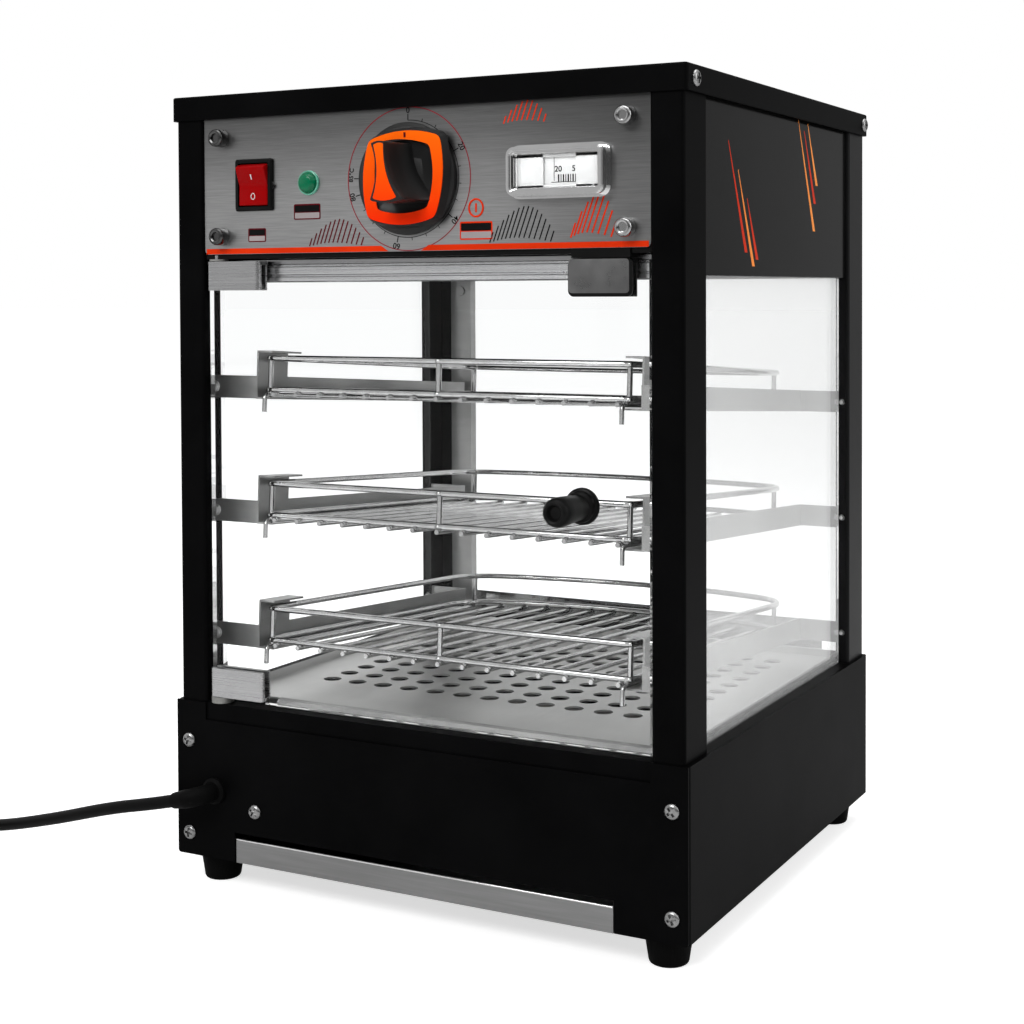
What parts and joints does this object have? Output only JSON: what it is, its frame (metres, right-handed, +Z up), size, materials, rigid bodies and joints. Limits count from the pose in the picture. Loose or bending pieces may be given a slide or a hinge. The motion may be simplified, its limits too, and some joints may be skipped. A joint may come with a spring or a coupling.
{
  "type": "pizza warmer",
  "caption": "Countertop heated display cabinet with a hinged glass door, leaning wire racks, a crumb tray, and a thermostat, switch and thermometer on its fascia.",
  "frame": {"origin": "middle of the whole outline, knobs included and cord left out, on the table", "axes": "+X to the right seen from the front, +Y to the rear, +Z up"},
  "size_m": [0.7062, 0.4312, 0.497],
  "materials": {
    "black_paint": "satin",
    "black_gloss": "gloss",
    "stainless": "satin",
    "stainless_brushed": "brushed",
    "zinc": "satin",
    "chrome": "polished",
    "aluminium": "satin",
    "rubber": "matte",
    "black_plastic": "satin",
    "nylon": "satin",
    "red_plastic": "gloss",
    "green_lens": "gloss",
    "orange_plastic": "gloss",
    "white_plastic": "satin",
    "glass": "clear"
  },
  "bodies": {
    "cabinet": {"base_front_plate": "black_paint", "base_shell": "black_paint", "base_deck": "black_paint", "base_bottom": "black_paint", "feet": "rubber", "base_screws": "zinc", "post_front_left": "black_paint", "post_front_right": "black_paint", "post_rear_left": "black_paint", "post_rear_right": "black_paint", "top_lid": "black_paint", "lid_screws": "zinc", "side_panel_left": "black_gloss", "side_panel_right": "black_gloss", "rear_panel": "black_gloss", "side_glass_left": "glass", "side_glass_right": "glass", "rear_glass": "glass", "floor_pan": "stainless", "control_shelf": "black_paint", "control_fascia": "stainless_brushed", "fascia_studs": "chrome", "header_rail": "aluminium", "magnet_catch": "black_plastic", "hinge_bushes": "nylon", "shelf_rail_bottom_left": "stainless", "shelf_rail_bottom_right": "stainless", "shelf_rail_middle_left": "stainless", "shelf_rail_middle_right": "stainless", "shelf_rail_top_left": "stainless", "shelf_rail_top_right": "stainless", "rail_screws": "zinc", "switch_housing": "black_plastic", "lamp_bezel": "chrome", "lamp_lens": "green_lens", "thermostat_body": "nylon", "thermometer_bezel": "chrome", "thermometer_plate": "white_plastic", "thermometer_window": "glass", "heating_element": "stainless", "heater_brackets": "zinc", "wire_duct_cover": "stainless", "cord_gland": "rubber", "power_cord": "rubber", "cord_coil": "rubber", "plug": "black_plastic"},
    "door": {"door_glass": "glass", "hinge_clamp_bottom": "aluminium", "hinge_clamp_top": "aluminium", "striker_plate": "black_paint", "door_knob": "black_plastic", "door_knob_screw": "zinc"},
    "knob": {"thermostat_knob": "black_plastic", "thermostat_knob_face": "orange_plastic", "thermostat_shaft": "zinc"},
    "rocker": {"rocker": "red_plastic"},
    "rack_bottom": {"rack_bottom": "chrome"},
    "rack_middle": {"rack_middle": "chrome"},
    "rack_top": {"rack_top": "chrome"},
    "crumb_tray": {"crumb_tray": "stainless"}
  },
  "joints": [
    {"name": "door_hinge", "type": "hinge", "parent": "cabinet", "child": "door", "pos_m": [-0.1445, -0.1415, 0.12], "axis": [0, 0, -1], "range_deg": [0, 105]},
    {"name": "thermostat_turn", "type": "hinge", "parent": "cabinet", "child": "knob", "pos_m": [-0.0025, -0.149, 0.4404], "axis": [0, 1, 0], "range_deg": [0, 280]},
    {"name": "switch_rock", "type": "hinge", "parent": "cabinet", "child": "rocker", "pos_m": [-0.1133, -0.1445, 0.4404], "axis": [-1, 0, 0], "range_deg": [0, 20]},
    {"name": "rack_bottom_slide", "type": "slide", "parent": "cabinet", "child": "rack_bottom", "axis": [0, -0.998, 0.0637], "range_m": [0, 0.009]},
    {"name": "rack_middle_slide", "type": "slide", "parent": "cabinet", "child": "rack_middle", "axis": [0, -0.998, 0.0637], "range_m": [0, 0.009]},
    {"name": "rack_top_slide", "type": "slide", "parent": "cabinet", "child": "rack_top", "axis": [0, -0.998, 0.0637], "range_m": [0, 0.009]},
    {"name": "crumb_tray_slide", "type": "slide", "parent": "cabinet", "child": "crumb_tray", "axis": [0, -1, 0], "range_m": [0, 0.24]}
  ]
}
